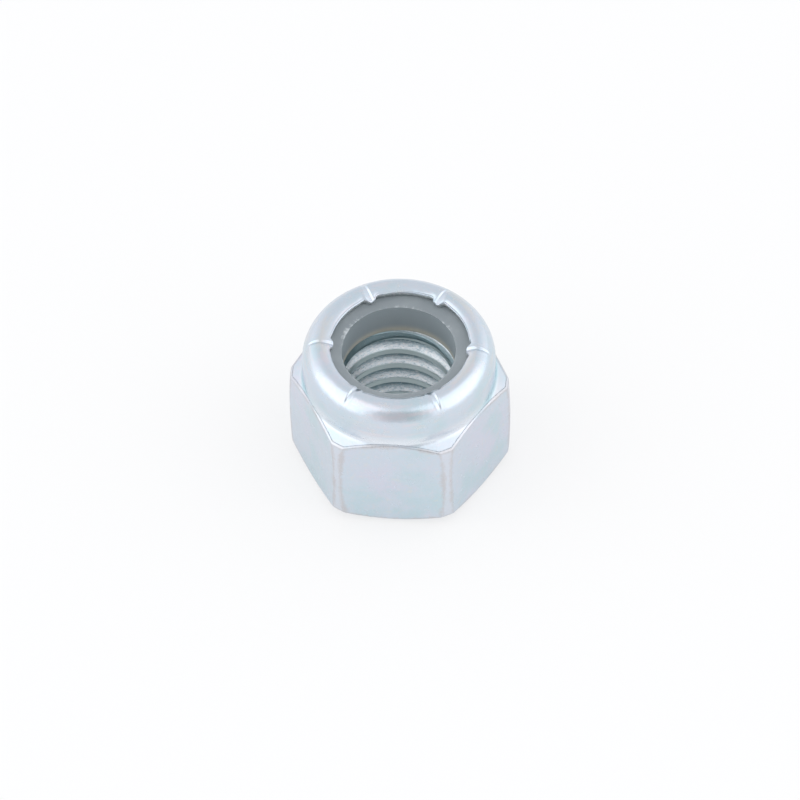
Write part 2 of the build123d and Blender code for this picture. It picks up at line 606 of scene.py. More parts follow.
        edge_height = np.where(cone > 0, high[1], centre[1] - c.base_fillet * np.sin(turn))
        edge = (high[0], edge_height)
        inside = on_top(np.full_like(high[0], 0.05))
        section.corner((edge[0], edge[1] - 1.0), edge, inside, h.edge_rounding, on_side=self)
        past_edge = 1.75 * h.edge_rounding + 0.03
        last = np.minimum(h.rim_distance + 2 * h.rim_reach, 0.85 * length)
        distances = [np.minimum(past_edge, last * 0.8)]
        for offset in (-1.0, 0.0, 1.0):
            beside_rim = h.rim_distance + h.rim_reach * offset
            distances.append(np.minimum(beside_rim, last * (0.9 + offset * 0.05)))
        steps = np.linspace(0.0, 1.0, self.chamfer_rows)
        distances += [last + (length - last) * step for step in steps]
        for distance in distances:
            nearness = np.clip(1 - np.abs(distance - h.rim_distance) / h.rim_reach, 0, 1)
            marks = {
                Mark.RIM: nearness * (cone > 0.4),
                Mark.FOOT: np.clip((distance - cone) / (length - cone), 0, 1),
            }
            section.add(*on_top(distance), marks=marks)
        return centre[1]

    def collar_rows(self, section: "HalfSection", wall_start: float) -> None:
        """Add the collar, its shoulder and the rolled lip with its cut edge.

        Args:
            section: The half-section to add to.
            wall_start: Height at which the collar's wall starts.
        """
        c = self.collar
        turn_in = math.radians(c.shoulder_turn)
        roll_start = (
            c.crest_radius + c.roll_radius * math.cos(turn_in),
            c.top - c.roll_radius * (1 - math.sin(turn_in)),
        )
        shoulder = (c.radius - roll_start[0]) / (1 - math.cos(turn_in))
        wall_top = roll_start[1] - shoulder * math.sin(turn_in)
        for step in (0.15, 0.5, 0.85):
            height = wall_start + (wall_top - wall_start) * step
            section.add(c.radius, height, marks={Mark.FOOT: max(0.0, 1 - 1.6 * step)})
        for angle in np.linspace(0, turn_in, self.shoulder_rows, endpoint=False):
            section.add(
                c.radius - shoulder * (1 - math.cos(angle)),
                wall_top + shoulder * math.sin(angle),
                marks=self.roll_marks(angle),
            )
        short_of_edge = math.pi / 2 + math.radians(c.roll_end) - 0.06
        for angle in np.linspace(turn_in, short_of_edge, self.roll_rows):
            section.add(
                c.crest_radius + c.roll_radius * math.cos(angle),
                c.top - c.roll_radius * (1 - math.sin(angle)),
                marks=self.roll_marks(angle),
            )
        edge = (c.lip_radius, c.edge_height)
        foot = (c.lip_radius + c.lip_bevel, c.lip_underside)
        before = (c.lip_radius + 1.0, c.edge_height + math.tan(math.radians(c.roll_end)))
        section.corner(before, edge, foot, c.lip_edge_rounding, {Mark.CRIMP: 1.0, Mark.LIP: 1.0})
        for step in (0.2, 0.3, 0.4, 0.5, 0.6, 0.7):
            section.add(
                edge[0] + (foot[0] - edge[0]) * step,
                edge[1] + (foot[1] - edge[1]) * step,
                marks={Mark.LIP: 1.0, Mark.CUT: 1.0, Mark.CRIMP: 1.0 - step},
            )
        underside = (c.seat_radius, c.lip_underside)
        marks = {Mark.LIP: 1.0, Mark.CUT: 1.0}
        section.corner(edge, foot, underside, c.lip_foot_rounding, marks)

    def roll_marks(self, angle: float) -> dict[Mark, float]:
        """Marks of a point on the shoulder or the roll.

        Args:
            angle: How far the surface has turned in from upright, in radians.

        Returns:
            CRIMP rises from 0 low on the shoulder to 1 at the lip's edge, and LIP from the
            crest to the edge.
        """
        degrees = math.degrees(angle)
        c = self.collar
        return {
            Mark.CRIMP: float(np.clip((degrees - c.crimps_start) / c.crimps_turn, 0, 1)),
            Mark.LIP: float(np.clip((degrees - 90) / c.lip_turn, 0, 1)),
        }

    def seat_rows(self, section: "HalfSection") -> None:
        """Add the seat that holds the insert.

        Args:
            section: The half-section to add to.
        """
        c = self.collar
        for point in (
            (c.underside_radius, c.lip_underside),
            (c.seat_radius - c.seat_bevel, c.lip_underside),
            (c.seat_radius, c.lip_underside - c.seat_bevel),
            (c.seat_radius, (c.lip_underside + c.seat_height) / 2),
            (c.seat_radius, c.seat_height),
        ):
            section.add(*point)
        for radius in c.seat_floor_radii:
            section.add(radius, c.seat_height)

    def bore_rows(self, section: "HalfSection") -> None:
        """Add rows of the plain bore, which climb with the thread from its bottom to its top.

        Args:
            section: The half-section to add to.
        """
        t, top = self.thread, self.collar.seat_height
        rise = t.phase + t.pitch * section.azimuth / 360
        fractions = np.array(self.thread_fractions)
        pitch = np.concatenate([fractions, 1 - fractions[-2:0:-1]])
        turns = math.ceil((top - t.phase) / t.pitch) + 1
        for step in np.concatenate([pitch + turn for turn in range(-2, turns)])[::-1]:
            height = np.clip(rise + step * t.pitch, 0, top)
            section.add(t.crest_radius, height, marks={Mark.BORE: 1.0})

    def blank(self) -> bpy.types.Object:
        """Make the nut's surface as one closed mesh, drilled but not tapped or crimped.

        Returns:
            The object, with marks on its points for the tapping, the crimping and the finish.
        """
        section = HalfSection(self.azimuths())
        self.side_rows(section)
        wall_start = self.top_rows(section)
        self.collar_rows(section, wall_start)
        self.seat_rows(section)
        self.bore_rows(section)
        return section.mesh("nut_body_zinc")

    def build(self, finish: bpy.types.Material) -> bpy.types.Object:
        """Make the finished steel piece.

        Args:
            finish: The material of all its faces.

        Returns:
            The piece, riding on the root and standing for the steel node.
        """
        piece = self.blank()
        tapping = Tapping(self.thread, self.collar.seat_height)
        crimping = Crimping(self.crimps, self.collar)
        piece = apply_trees(piece, [tapping.tree(), crimping.tree(finish)], finish)
        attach(piece, "root")
        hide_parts("nut_body")
        return piece


# ---------------------------------------------------------------------------------------
# Geometry Nodes
# ---------------------------------------------------------------------------------------


class GeometryTree:
    """A Geometry Nodes tree that takes a mesh, moves its points and gives it back."""

    def __init__(self, name: str, inputs: dict[str, float]) -> None:
        """Start the tree.

        Args:
            name: Name of the node group.
            inputs: The named inputs and their values.
        """
        self.tree = bpy.data.node_groups.new(name, "GeometryNodeTree")
        interface = self.tree.interface
        interface.new_socket("Geometry", in_out="INPUT", socket_type="NodeSocketGeometry")
        interface.new_socket("Geometry", in_out="OUTPUT", socket_type="NodeSocketGeometry")
        self.values: dict[str, float] = {}
        for label, value in inputs.items():
            socket = interface.new_socket(label, in_out="INPUT", socket_type="NodeSocketFloat")
            socket.default_value = value
            self.values[socket.identifier] = value
        self.start = self.tree.nodes.new("NodeGroupInput")
        self.end = self.tree.nodes.new("NodeGroupOutput")
        self.geometry = self.start.outputs["Geometry"]

    def given(self, label: str) -> Formula:
        """A named input of the tree."""
        return Formula(self.tree, self.start.outputs[label])

    def mark(self, mark: Mark) -> Formula:
        """A mark that the mesh's points carry.

        Args:
            mark: The mark to read.

        Returns:
            Its value at each point.
        """
        node = self.tree.nodes.new("GeometryNodeInputNamedAttribute")
        node.data_type = "FLOAT"
        node.inputs["Name"].default_value = mark.value
        return Formula(self.tree, node.outputs["Attribute"])

    def place(self) -> tuple[Formula, Formula, Formula]:
        """Split up each point's position.

        Returns:
            Its x, y and z in millimetres.
        """
        position = self.tree.nodes.new("GeometryNodeInputPosition")
        split = self.tree.nodes.new("ShaderNodeSeparateXYZ")
        self.tree.links.new(position.outputs[0], split.inputs[0])
        return tuple(Formula(self.tree, output) / MM for output in split.outputs)

    def noise(self, scale: float, seed: float, detail: float = 2.0) -> Formula:
        """A number that wanders from place to place.

        Args:
            scale: Waves for each millimetre.
            seed: Picks the pattern.
            detail: How many finer patterns are added.

        Returns:
            The number at each point, about 0 in the middle and up to 1 either way.
        """
        node = self.tree.nodes.new("ShaderNodeTexNoise")
        node.noise_dimensions = "4D"
        node.inputs["W"].default_value = seed
        node.inputs["Scale"].default_value = scale / MM
        node.inputs["Detail"].default_value = detail
        return (Formula(self.tree, node.outputs[0]) - 0.5) * 2.0

    def move(self, x: Formula, y: Formula, z: Formula, only: Formula) -> None:
        """Put the points at new places.

        Args:
            x: New x in millimetres.
            y: New y.
            z: New z.
            only: Points whose value here is above a half are moved.
        """
        join = self.tree.nodes.new("ShaderNodeCombineXYZ")
        for value, socket in zip((x, y, z), join.inputs):
            (value * MM).feed(socket)
        node = self.tree.nodes.new("GeometryNodeSetPosition")
        self.tree.links.new(self.geometry, node.inputs["Geometry"])
        only.math("GREATER_THAN", 0.5).feed(node.inputs["Selection"])
        self.tree.links.new(join.outputs[0], node.inputs["Position"])
        self.geometry = node.outputs["Geometry"]

    def store(self, mark: Mark, value: Formula) -> None:
        """Leave a mark on the points.

        Args:
            mark: The mark to leave.
            value: Its value at each point.
        """
        node = self.tree.nodes.new("GeometryNodeStoreNamedAttribute")
        node.data_type = "FLOAT"
        node.domain = "POINT"
        node.inputs["Name"].default_value = mark.value
        self.tree.links.new(self.geometry, node.inputs["Geometry"])
        value.feed(node.inputs["Value"])
        self.geometry = node.outputs["Geometry"]

    def finish(self, material: bpy.types.Material) -> None:
        """Realize what the tree made and give it its material.

        Args:
            material: The material of every face.
        """
        realize = self.tree.nodes.new("GeometryNodeRealizeInstances")
        dress = self.tree.nodes.new("GeometryNodeSetMaterial")
        dress.inputs["Material"].default_value = material
        self.tree.links.new(self.geometry, realize.inputs["Geometry"])
        self.tree.links.new(realize.outputs["Geometry"], dress.inputs["Geometry"])
        self.tree.links.new(dress.outputs["Geometry"], self.end.inputs["Geometry"])


@dataclass
class Tapping:
    """Cuts the thread and the countersinks into the plain bore."""

    thread: Thread
    bore_top: float

    def tree(self) -> GeometryTree:
        """Build the tree that moves the bore's points out to the thread.

        Returns:
            The tree.
        """
        t = self.thread
        made = GeometryTree(
            "tapped_bore",
            {
                "Pitch": t.pitch,
                "Crest radius": t.crest_radius,
                "Sharp root radius": t.sharp_root_radius,
                "Cut root radius": t.cut_root_radius,
                "Flank slope": math.tan(math.radians(t.flank_angle)),
                "Phase": t.phase,
                "Bottom mouth radius": t.bottom_mouth_radius,
                "Top mouth radius": t.top_mouth_radius,
                "Top of bore": self.bore_top,
                "Bottom countersink slope": math.tan(math.radians(t.bottom_countersink_angle)),
                "Top countersink slope": math.tan(math.radians(t.top_countersink_angle)),
            },
        )
        x, y, z = made.place()
        azimuth = y.math("ARCTAN2", x)
        turn = (z - made.given("Phase")) / made.given("Pitch") - azimuth / (2 * math.pi)
        from_root = abs(turn - turn.math("ROUND")) * made.given("Pitch")
        groove = made.given("Sharp root radius") - from_root / made.given("Flank slope")
        groove = groove.smallest(made.given("Cut root radius"), t.root_rounding)
        cut = groove.largest(made.given("Crest radius"), t.edge_rounding)
        bottom = made.given("Bottom mouth radius") - z / made.given("Bottom countersink slope")
        below_top = made.given("Top of bore") - z
        top = made.given("Top mouth radius") - below_top / made.given("Top countersink slope")
        radius = cut.largest(bottom, t.mouth_rounding).largest(top, t.mouth_rounding)
        depth = (cut - made.given("Crest radius")) / (t.cut_root_radius - t.crest_radius)
        bore = made.mark(Mark.BORE)
        made.move(azimuth.math("COSINE") * radius, azimuth.math("SINE") * radius, z, bore)
        made.store(Mark.GROOVE, depth * bore)
        made.store(Mark.MOUTH, (radius - cut).ramp(0.0, t.mouth_blend) * bore)
        return made


@dataclass
class Crimping:
    """Presses the crimps into the lip and roughens the lip's cut edge."""

    crimps: Crimps
    collar: Collar

    def start(self) -> GeometryTree:
        """Start the tree with its named inputs.

        Returns:
            The tree, which moves nothing yet.
        """
        k, c = self.crimps, self.collar
        inputs = {
            "Count": k.count,
            "Depth": k.depth,
            "Broad side": k.broad_side,
            "Narrow side": k.narrow_side,
            "Ridge": k.ridge,
            "Tooth reach": k.tooth_reach,
            "Tooth half width": k.tooth_half_width,
            "Recess": k.recess,
            "Out of round": k.out_of_round,
            "Droop": c.droop,
            "Top": c.top,
        }
        return GeometryTree("crimped_lip", inputs)

    def nearest_crimp(self, made: GeometryTree, azimuth: Formula) -> tuple[Formula, Formula]:
        """Find the crimp that each point is nearest to.

        Args:
            made: The tree to work in.
            azimuth: The points' angles in radians.

        Returns:
            The crimp's number, counted from +X, and how far past its middle the point lies, in
            radians.
        """
        k = self.crimps
        sector = made.given("Count") * (azimuth / (2 * math.pi))
        nearest = sector.math("ROUND")
        index = nearest.math("FLOORED_MODULO", float(k.count))
        offset = Formula(made.tree, 0.0)
        for crimp, degrees in enumerate(k.offsets):
            offset = offset + index.math("COMPARE", float(crimp), 0.1) * math.radians(degrees)
        return index, (sector - nearest) * (2 * math.pi) / made.given("Count") - offset

    def push(self, made: GeometryTree, across: Formula, along: Formula) -> Formula:
        """Work out how far the crimps press the lip down, with the low ridges beside them.

        Args:
            made: The tree to work in.
            across: Distance from a crimp's middle line, positive on its broad face.
            along: How far up the lip the point is, from 0 on the shoulder to 1 at the edge.

        Returns:
            The depth in millimetres.
        """
        k = self.crimps
        pressed = along.ramp(0.0, k.run_in)
        narrow, broad = made.given("Narrow side"), made.given("Broad side")
        widths = narrow + (broad - narrow) * across.math("GREATER_THAN", 0.0)
        half_width = widths * (k.width_at_start + (1 - k.width_at_start) * along)
        distance = abs(across)
        depth = made.given("Depth") * (k.depth_at_start + (1 - k.depth_at_start) * along) * pressed
        valley = (1.0 - distance / half_width).largest(0.0, k.valley_rounding)
        beyond = (distance - half_width * k.ridge_place) / k.ridge_width
        return valley * depth - beyond.bell() * made.given("Ridge") * pressed

    def tooth(self, made: GeometryTree, across: Formula) -> Formula:
        """Shape the tooth that the lip's edge has at each crimp.

        Args:
            made: The tree to work in.
            across: Distance from a crimp's middle line.

        Returns:
            The tooth, from 0 beside it to 1 in its middle.
        """
        half = made.given("Tooth half width")
        rise = ((half - abs(across)) / (half * self.crimps.tooth_side)).ramp(0.0, 1.0)
        return rise * rise * (3.0 - 2.0 * rise)

    def inward(self, made: GeometryTree, azimuth: Formula, across: Formula, tooth: Formula) -> Formula:
        """Work out how far the lip's edge stands inside a true circle.

        Args:
            made: The tree to work in.
            azimuth: The points' angles in radians.
            across: Distance from a crimp's middle line.
            tooth: The teeth, from 0 to 1.

        Returns:
            The distance in millimetres.
        """
        k = self.crimps
        beside = abs(across) - made.given("Tooth half width") * k.recess_place
        recess = (beside / k.recess_width).bell() * made.given("Recess")
        fine = made.noise(k.torn_fine, k.seed, 3.0)
        torn = (fine + made.noise(k.torn_coarse, k.seed + 3, 1.0)) * k.torn
        reach = made.given("Tooth reach") * (1.0 + k.more_reach_behind * azimuth.math("SINE"))
        lobe = (azimuth - math.radians(k.out_of_round_azimuth)).math("COSINE") * 0.5 + 0.5
        shift = lobe * lobe * lobe * made.given("Out of round")
        return tooth * reach - recess + torn + shift

    def tree(self, finish: bpy.types.Material) -> GeometryTree:
        """Build the tree that moves the lip's points.

        Args:
            finish: The material that the tree gives to the faces.

        Returns:
            The tree.
        """
        k, c = self.crimps, self.collar
        made = self.start()
        x, y, z = made.place()
        radius = (x * x + y * y).math("SQRT")
        azimuth = y.math("ARCTAN2", x)
        along, lip = made.mark(Mark.CRIMP), made.mark(Mark.LIP)
        index, off = self.nearest_crimp(made, azimuth)
        # each crimp's broad face is the one nearer to -Y: it lies past the middle of the crimps
        # at -X, and before the middle of the others
        facing = index.math("COMPARE", 3.0, 1.2) * 2.0 - 1.0
        across = off * radius * facing
        push = self.push(made, across, along)
        tooth = self.tooth(made, across)
        inward = self.inward(made, azimuth, across, tooth) * lip
        new_radius = radius - inward - push * k.pushed_inward
        # the lip bends down towards its edge
        inner = ((c.droop_start - radius) / (c.droop_start - c.lip_radius)).ramp(0.0, 1.0)
        bend = inner * inner * made.given("Droop") * along.ramp(0.0, c.droop_run_in)
        new_z = (z - push - bend - tooth * k.tooth_drop * lip).smallest(made.given("Top"))
        marked = (along + lip) * 1000.0  # so that the faintest mark is above a half
        new_x, new_y = azimuth.math("COSINE") * new_radius, azimuth.math("SINE") * new_radius
        made.move(new_x, new_y, new_z, marked)
        made.finish(finish)
        return made


def apply_trees(
    piece: bpy.types.Object, trees: list[GeometryTree], finish: bpy.types.Material
) -> bpy.types.Object:
    """Run Geometry Nodes trees on a piece and keep the result as a plain mesh.

    Args:
        piece: The object to work on.
        trees: The trees, in order.
        finish: The material of the piece.

    Returns:
        The same object, with its new mesh and no modifier.
    """
    for made in trees:
        if not made.end.inputs["Geometry"].is_linked:
            made.tree.links.new(made.geometry, made.end.inputs["Geometry"])
        modifier = piece.modifiers.new(made.tree.name, "NODES")
        modifier.node_group = made.tree
        for identifier, value in made.values.items():
            modifier[identifier] = float(value)
    evaluated = piece.evaluated_get(bpy.context.evaluated_depsgraph_get())
    mesh = bpy.data.meshes.new_from_object(evaluated)
    piece.modifiers.clear()
    piece.data = mesh
    mesh.name = piece.name
    mesh.materials.clear()
    mesh.materials.append(finish)
    mesh.polygons.foreach_set("material_index", [0] * len(mesh.polygons))
    mesh.polygons.foreach_set("use_smooth", [True] * len(mesh.polygons))
    mesh.update()
    return piece


# ---------------------------------------------------------------------------------------
# The nylon ring
# ---------------------------------------------------------------------------------------


@dataclass
class NylonRing:
    """The nylon ring that the collar holds.

    A profile is a list of points, each with how far it lies outside the bore, how far above the
    rim or the bottom face, and its share of the flash.
    """

    radius: float = 5.98
    bore_radius: float = 4.10
    bottom: float = 8.40
    top: float = 10.90
    edge_bevel: float = 0.40
    dish: float = 0.12  # how far the top face falls from its outer part to the rim
    dish_start: float = 5.05
    dish_end: float = 0.16  # outside the bore
    dish_power: float = 1.3
    dish_rows: int = 10
    rim_profile: tuple = (
        (0.09, -0.004, 0.8), (0.05, -0.002, 0.9), (0.02, 0.004, 1.0),
        (0.0, -0.012, 1.0), (0.0, -0.05, 0.5), (0.015, -0.11, 0.0),
    )
    wall_start: float = 0.11  # below the rim
    wall_end: float = 0.05  # above the bottom face
    wall_set_back: float = 0.012
    wall_rows: int = 12
    bead_profile: tuple = (
        (0.012, -0.06, 0.0), (0.015, -0.13, 0.0), (0.03, -0.19, 0.0), (0.07, -0.21, 0.0),
        (0.12, -0.17, 0.0), (0.20, -0.03, 0.0), (0.24, 0.0, 0.0),
    )
    flash: float = 0.07
    flash_lift: float = 0.8  # how far the flash stands up, as a share of how far it stands in
    burrs: tuple = ((154.0, 22.0, 1.5), (40.0, 12.0, 1.1), (92.0, 30.0, 0.8))  # place, width, strength
    burr_elsewhere: float = 0.1
    waves: tuple = ((6, 0.012, 0.4), (11, 0.008, 0.0))  # count, height and lead of the dish's waves
    waves_sunk: float = 0.02  # how far the dish sinks where the waves are
    waves_reach: float = 0.8  # inside the dish's start, over which they grow to the full
    waves_above: float = 10.0  # the height above which they are
    ragged_waves: tuple = ((3, 0.25), (7, 0.3), (17, 0.3), (41, 0.35), (67, 0.3))  # count, strength
    tan_reach: float = 0.50  # how far up from the bottom face the tan colour reaches
    seed: int = 7
    columns: int = 432

    def section(self) -> np.ndarray:
        """The ring's half-section, from the outer wall over the top and down the bore.

        Returns:
            Radius, height and share of the flash at each point.
        """
        rim = self.top - self.dish
        points = [
            (self.radius, self.bottom + 0.05, 0.0),
            (self.radius, (self.bottom + self.top) / 2, 0.0),
            (self.radius, self.top - self.edge_bevel, 0.0),
            (self.radius - self.edge_bevel, self.top, 0.0),
            (self.dish_start + 0.15, self.top, 0.0),
            (self.dish_start, self.top - 0.004, 0.0),
        ]
        for share in np.linspace(0.1, 1.0, self.dish_rows):
            radius = self.dish_start + (self.bore_radius + self.dish_end - self.dish_start) * share
            fall = self.dish * share**self.dish_power
            points.append((radius, self.top - fall, max(0.0, share - 0.6) * 1.8))
        points += [(self.bore_radius + out, rim + up, loose) for out, up, loose in self.rim_profile]
        wall_top, wall_bottom = rim - self.wall_start, self.bottom + self.wall_end
        for share in np.linspace(0.1, 1.0, self.wall_rows):
            height = wall_top - (wall_top - wall_bottom) * share
            points.append((self.bore_radius + self.wall_set_back, height, 0.0))
        for out, up, loose in self.bead_profile:
            points.append((self.bore_radius + out, self.bottom + up, loose))
        points += [(5.0, self.bottom, 0.0), (self.radius - 0.05, self.bottom, 0.0)]
        return np.array(points)

    def burr(self, angles: np.ndarray) -> np.ndarray:
        """Work out how strong the burrs at the rim are.

        Args:
            angles: The columns' angles in radians.

        Returns:
            The strength at each column.
        """
        strengths = np.full(self.columns, self.burr_elsewhere)
        for place, width, strength in self.burrs:
            off = np.degrees(angles) - place
            off = off - 360 * np.round(off / 360)
            strengths = np.maximum(strengths, strength * np.exp(-((off / width) ** 2)))
        return strengths

    def ragged(self, angles: np.ndarray) -> np.ndarray:
        """Make the rim's torn line.

        Args:
            angles: The columns' angles in radians.

        Returns:
            How far the flash stands out at each column, from 0 to 1.2.
        """
        random = np.random.default_rng(self.seed)
        line = np.zeros(self.columns)
        for waves, strength in self.ragged_waves:
            line += strength * np.sin(waves * angles + random.uniform(0, 6.3))
        loose = random.uniform(-0.5, 0.5, self.columns)
        line += (np.roll(loose, 1) + 2 * loose + np.roll(loose, -1)) / 4
        return np.clip(line * 0.5 + 0.45, 0.0, 1.2)

    def mesh(self) -> bpy.types.Mesh:
        """Turn the half-section round the axis, with the burrs and the marks of the finish.

        Returns:
            The ring's closed mesh.
        """
        section = self.section()
        radius, height, loose = (section[None, :, column] for column in range(3))
        angles = np.linspace(0, 2 * math.pi, self.columns, endpoint=False)
        burr = self.burr(angles)[:, None]
        ragged = self.ragged(angles)[:, None] * burr
        radii = radius - loose * ragged * self.flash
        heights = height + loose * ragged * self.flash * self.flash_lift
        wave = sum(size * np.sin(count * angles + lead) for count, size, lead in self.waves)
        dished = np.clip((self.dish_start - radius) / self.waves_reach, 0, 1)
        dished = dished * (height > self.waves_above)
        heights = heights - (wave + self.waves_sunk)[:, None] * dished
        across, along = np.cos(angles)[:, None], np.sin(angles)[:, None]
        points = np.stack([radii * across, radii * along, heights], axis=2)
        index = np.arange(radii.size).reshape(radii.shape)
        after = np.roll(index, -1, 0)
        quads = np.stack([index, after, np.roll(after, -1, 1), np.roll(index, -1, 1)], axis=2)
        mesh = bpy.data.meshes.new("nylon_insert_ring")
        mesh.from_pydata((points.reshape(-1, 3) * MM).tolist(), [], quads.reshape(-1, 4).tolist())
        marks = {
            Mark.FLASH: np.clip(loose * (0.35 * burr + 0.65 * ragged), 0, 1),
            Mark.DEEP: np.clip((self.bottom + self.tan_reach - heights) / self.tan_reach, 0, 1) ** 1.2,
        }
        for mark, values in marks.items():
            attribute = mesh.attributes.new(mark.value, "FLOAT", "POINT")
            attribute.data.foreach_set("value", values.reshape(-1).astype(np.float32))
        mesh.polygons.foreach_set("use_smooth", [True] * len(mesh.polygons))
        return mesh

    def build(self, finish: bpy.types.Material) -> bpy.types.Object:
        """Make the finished ring.

        Args:
            finish: The material of all its faces.

        Returns:
            The piece, riding on the root and standing for the nylon node.
        """
        mesh = self.mesh()
        mesh.materials.append(finish)
        mesh.update()
        piece = bpy.data.objects.new("nylon_insert_ring", mesh)
        bpy.context.scene.collection.objects.link(piece)
        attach(piece, "root")
        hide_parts("nylon_insert")
        return piece


# ---------------------------------------------------------------------------------------
# Finishes
# ---------------------------------------------------------------------------------------


class Tone(Enum):
    """The colours of the finishes and of the light and shade painted on them, as linear red, green and
    blue.
    """

    ZINC = (0.645, 0.71, 0.785)
    LAVENDER = (0.70, 0.685, 0.79)
    TEAL = (0.57, 0.70, 0.75)
    STRAW = (0.76, 0.73, 0.68)
    PINK = (0.76, 0.695, 0.73)
    SKY = (0.60, 0.72, 0.82)
    FOOT_TEAL = (0.40, 0.70, 0.78)
    # painted light: pales the collar's foot over the dark reflection it shows there
    FOOT_PAINTED_LIGHT = (0.88, 0.91, 0.95)
    WORN = (0.60, 0.58, 0.59)
    BAND = (0.72, 0.74, 0.80)
    SPECK = (0.26, 0.25, 0.24)
    RIM = (0.42, 0.46, 0.50)
    # painted shade: the crests' darker teal-grey stands in for the dim reflection of the shaded floor
    # under the nut
    CREST_SHADE = (0.52, 0.62, 0.635)
    # the flanks' cut steel, lightened past the steel's own colour as painted light to brighten the dim
    # bore
    FLANK_STEEL_AND_PAINTED_LIGHT = (0.90, 0.95, 0.99)
    # painted shade in the thread's roots, also the colour of the dark streaks on the flanks
    ROOT = (0.20, 0.37, 0.43)
    # painted shade: the countersinks' dark teal stands in for the shade under the nylon's overhang
    MOUTH = (0.45, 0.59, 0.63)
    GLINT = (0.98, 0.97, 0.97)
    # the cut face's greenish grey, lightened as painted light against the deep shade it lies in
    CUT_FACE_GREY_AND_LIGHT = (0.74, 0.79, 0.77)
    SHADE = (0.15, 0.23, 0.26)
    NYLON = (0.262, 0.297, 0.318)
    NYLON_PALE = (0.62, 0.66, 0.68)
    NYLON_TAN = (0.66, 0.62, 0.51)
    # painted light: the bore wall is lightened in place of light that passes through and bounces
    # inside the nylon
    NYLON_WALL_LIGHT = (0.345, 0.395, 0.42)


@dataclass(frozen=True)
class Pattern:
    """A noise's waves for each millimetre, its seed, and how many finer waves and how strong."""

    scale: float
    seed: float
    detail: float = 3.0
    roughness: float = 0.6


@dataclass(frozen=True)
class Streaks:
    """Waves of turned streaks: in each radian round the axis, and for each millimetre across."""

    around: float
    across: float
    detail: float = 3.0
    roughness: float = 0.7


@dataclass(frozen=True)
class Wash:
    """A colour that comes in where a pattern goes from one value to another, and its share."""

    tone: Tone
    start: float
    end: float
    share: float


class Surface:
    """A material's node tree, with patterns laid out in millimetres on Object coordinates."""

    def __init__(self, name: str) -> None:
        """Start the material.

        Args:
            name: Name of the material.
        """
        self.material = bpy.data.materials.new(name)
        self.material.use_nodes = True
        self.tree = self.material.node_tree
        self.shader = self.tree.nodes["Principled BSDF"]
        self.coordinates = self.tree.nodes.new("ShaderNodeTexCoord").outputs["Object"]

    def mark(self, mark: Mark) -> Formula:
        """Read a mark that the mesh's points carry.

        Args:
            mark: The mark to read.

        Returns:
            Its value.
        """
        node = self.tree.nodes.new("ShaderNodeAttribute")
        node.attribute_name = mark.value
        return Formula(self.tree, node.outputs["Fac"])

    def place(self) -> tuple[Formula, Formula, Formula]:
        """Split up the Object coordinates.

        Returns:
            Their x, y and z in millimetres.
        """
        split = self.tree.nodes.new("ShaderNodeSeparateXYZ")
        self.tree.links.new(self.coordinates, split.inputs[0])
        return tuple(Formula(self.tree, output) / MM for output in split.outputs)

    def noise(self, pattern: Pattern) -> Formula:
        """Cloudy noise.

        Args:
            pattern: The noise's settings.

        Returns:
            The noise, from 0 to 1 and about 0.5 in the middle.
        """
        node = self.tree.nodes.new("ShaderNodeTexNoise")
        node.noise_dimensions = "4D"
        self.tree.links.new(self.coordinates, node.inputs["Vector"])
        node.inputs["W"].default_value = pattern.seed
        node.inputs["Scale"].default_value = pattern.scale / MM
        node.inputs["Detail"].default_value = pattern.detail
        node.inputs["Roughness"].default_value = pattern.roughness
        return Formula(self.tree, node.outputs[0])

    def turned(self, streaks: Streaks) -> Formula:
        """Noise that is drawn out round the axis, as a tap or a turning tool leaves it.

        Args:
            streaks: The noise's settings.

        Returns:
            The noise, from 0 to 1.
        """
        x, y, z = self.place()
        radius = (x * x + y * y).math("SQRT")
        join = self.tree.nodes.new("ShaderNodeCombineXYZ")
        places = (x / radius * streaks.around, y / radius * streaks.around, z * streaks.across)
        for value, socket in zip(places, join.inputs):
            value.feed(socket)
        node = self.tree.nodes.new("ShaderNodeTexNoise")
        node.noise_dimensions = "4D"
        self.tree.links.new(join.outputs[0], node.inputs["Vector"])
        (radius * streaks.across).feed(node.inputs["W"])
        node.inputs["Scale"].default_value = 1.0
        node.inputs["Detail"].default_value = streaks.detail
        node.inputs["Roughness"].default_value = streaks.roughness
        return Formula(self.tree, node.outputs[0])

    def tint(
        self, share: Formula, before: "bpy.types.NodeSocket | Tone", tone: Tone
    ) -> bpy.types.NodeSocket:
        """Lay one colour over another.

        Args:
            share: How much of the new colour shows.
            before: The colour underneath.
            tone: The new colour.

        Returns:
            The mixed colour.
        """
        node = self.tree.nodes.new("ShaderNodeMix")
        node.data_type = "RGBA"
        # the node has sockets for every kind of data, and those for colours come last
        factor, below, above = node.inputs[0], node.inputs[6], node.inputs[7]
        share.feed(factor)
        if isinstance(before, Tone):
            below.default_value = (*before.value, 1)
        else:
            self.tree.links.new(before, below)
        above.default_value = (*tone.value, 1)
        return node.outputs[2]

    def wash(
        self, pattern: Formula, before: "bpy.types.NodeSocket | Tone", wash: Wash,
        where: "Formula | float" = 1.0,
    ) -> bpy.types.NodeSocket:
        """Lay a wash over a colour where the pattern says, as much as each place takes."""
        share = pattern.ramp(wash.start, wash.end) * wash.share * where
        return self.tint(share, before, wash.tone)

    def bump(
        self, height: Formula, distance: float, after: "bpy.types.NodeSocket | None" = None
    ) -> bpy.types.NodeSocket:
        """Turn a height into a bumped normal.

        Args:
            height: The height, from 0 to 1.
            distance: How many millimetres a height of 1 stands for.
            after: A normal that this one is added to.

        Returns:
            The normal.
        """
        node = self.tree.nodes.new("ShaderNodeBump")
        node.inputs["Distance"].default_value = distance * MM
        node.inputs["Strength"].default_value = 1.0
        height.feed(node.inputs["Height"])
        if after is not None:
            self.tree.links.new(after, node.inputs["Normal"])
        return node.outputs["Normal"]


